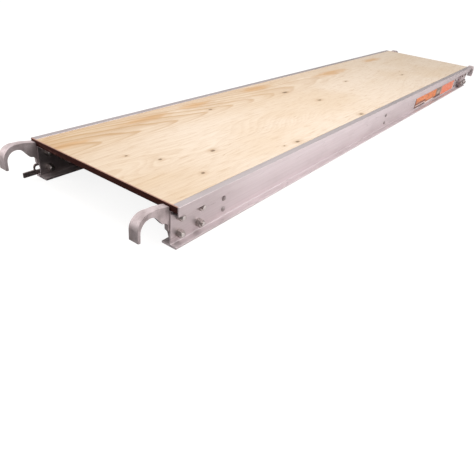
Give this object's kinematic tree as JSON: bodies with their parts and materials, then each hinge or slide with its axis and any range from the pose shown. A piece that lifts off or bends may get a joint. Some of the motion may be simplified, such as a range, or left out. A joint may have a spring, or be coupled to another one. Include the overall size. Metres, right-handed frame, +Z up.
{
  "type": "scaffold plank",
  "caption": "Hook-on scaffold walkboard with extruded side rails, plywood deck, over-bearer hooks and sliding uplift latches.",
  "frame": {"origin": "under the middle of the plank, on the plane of the rails' undersides", "axes": "+X along the plank towards its rear end, +Y across it to the left, +Z up"},
  "size_m": [2.5034, 0.496, 0.1],
  "materials": {
    "rail_aluminium": "mill-finish extrusion, faint drawing lines along its length",
    "hook_casting": "fine sand-cast aluminium",
    "plywood": "sanded softwood plywood",
    "dark_channel": "dark brown satin coating",
    "rivet_aluminium": "plain",
    "zinc_fasteners": "zinc plated",
    "dark_screws": "dark oxide",
    "latch_steel": "dull plated steel",
    "label_print": "printed vinyl"
  },
  "bodies": {
    "plank": {"deck_panel": "plywood", "deck_screws_left": "zinc_fasteners", "deck_screws_right": "zinc_fasteners", "end_channel_front": "dark_channel", "end_channel_rear": "dark_channel", "end_channel_rivets_front": "rivet_aluminium", "end_channel_rivets_rear": "rivet_aluminium", "hook_bolts_front_left": "zinc_fasteners", "hook_bolts_front_right": "zinc_fasteners", "hook_bolts_rear_left": "zinc_fasteners", "hook_bolts_rear_right": "zinc_fasteners", "hook_front_left": "hook_casting", "hook_front_right": "hook_casting", "hook_nuts_front_left": "zinc_fasteners", "hook_nuts_front_right": "zinc_fasteners", "hook_nuts_rear_left": "zinc_fasteners", "hook_nuts_rear_right": "zinc_fasteners", "hook_rear_left": "hook_casting", "hook_rear_right": "hook_casting", "hook_washers_front_left": "zinc_fasteners", "hook_washers_front_right": "zinc_fasteners", "hook_washers_rear_left": "zinc_fasteners", "hook_washers_rear_right": "zinc_fasteners", "label_strip": "label_print", "latch_guide_bolts_front": "zinc_fasteners", "latch_guide_bolts_rear": "zinc_fasteners", "latch_slide_washers_front": "zinc_fasteners", "latch_slide_washers_rear": "zinc_fasteners", "side_rail_left": "rail_aluminium", "side_rail_right": "rail_aluminium", "spreader_front": "rail_aluminium", "spreader_middle": "rail_aluminium", "spreader_rear": "rail_aluminium", "spreader_screws_left": "dark_screws", "spreader_screws_right": "dark_screws"},
    "front_latch": {"latch_front": "latch_steel"},
    "rear_latch": {"latch_rear": "latch_steel"}
  },
  "joints": [
    {"name": "front_latch_slide", "type": "slide", "parent": "plank", "child": "front_latch", "axis": [1, 0, 0], "range_m": [0, 0.025]},
    {"name": "rear_latch_slide", "type": "slide", "parent": "plank", "child": "rear_latch", "axis": [-1, 0, 0], "range_m": [0, 0.025]}
  ]
}
